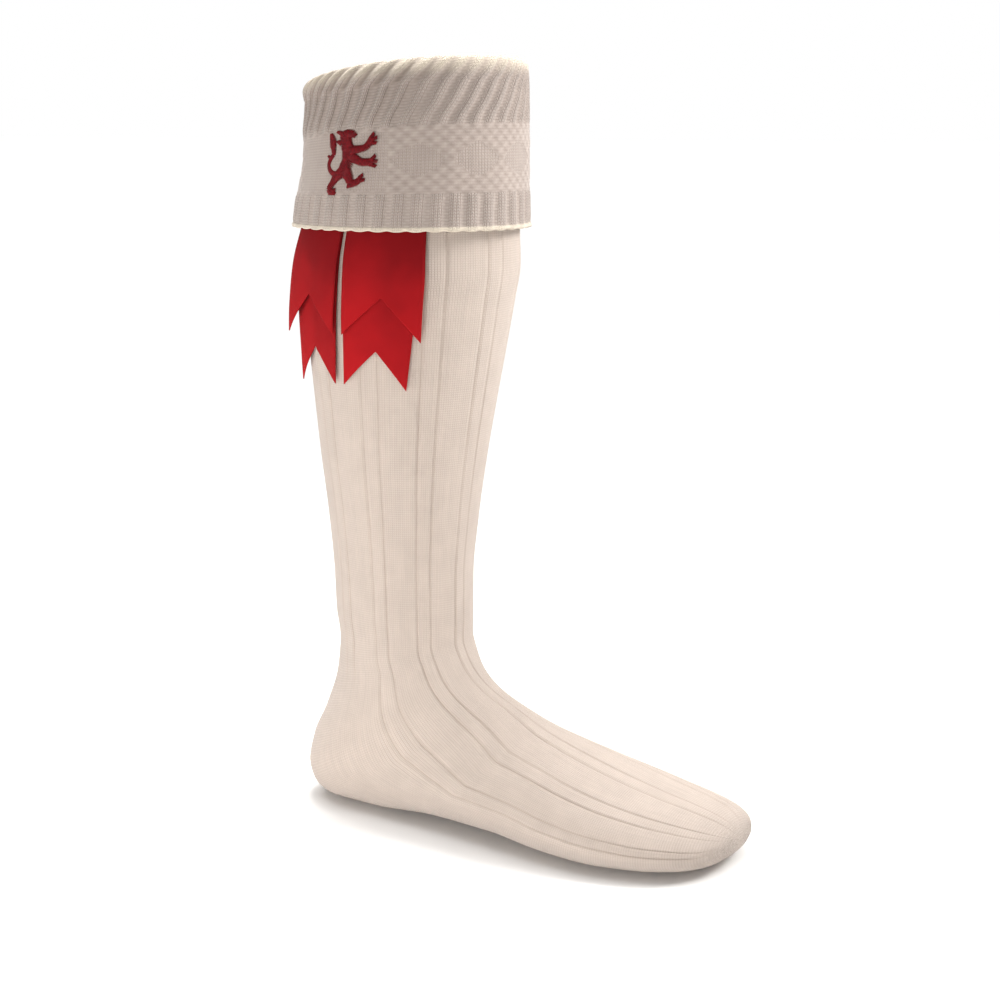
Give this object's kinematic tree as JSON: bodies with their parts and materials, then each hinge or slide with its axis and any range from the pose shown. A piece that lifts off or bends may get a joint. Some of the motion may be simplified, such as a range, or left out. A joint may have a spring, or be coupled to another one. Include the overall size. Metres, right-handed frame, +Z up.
{
  "type": "kilt hose sock",
  "caption": "Long ribbed wool sock for a right leg with a patterned turn-down cuff, a stitched lion rampant, and ribbon flashes hung from a garter under the cuff.",
  "frame": {"origin": "on the leg's axis above the ankle, at the sole, with the sock upright as on a standing leg", "axes": "+Z up the leg to the cuff, -Y to the toe, -X to the outer side of a right leg, where the lion and the ribbons are"},
  "size_m": [0.1234, 0.2666, 0.42],
  "materials": {
    "leg_knit": "cream wool, fine ribbed knit",
    "cuff_knit": "cream wool, thick ribbed and textured knit",
    "elastic_webbing": "plain woven elastic",
    "ribbon_cloth": "red wool ribbon, fine weave",
    "embroidery_thread": "dark red thread, satin stitch"
  },
  "bodies": {
    "root": {"leg_and_foot": "leg_knit", "turnover_cuff": "cuff_knit", "garter_band": "elastic_webbing", "flash_front_under": "ribbon_cloth", "flash_front_over": "ribbon_cloth", "flash_rear_under": "ribbon_cloth", "flash_rear_over": "ribbon_cloth", "lion_motif": "embroidery_thread"}
  },
  "joints": []
}
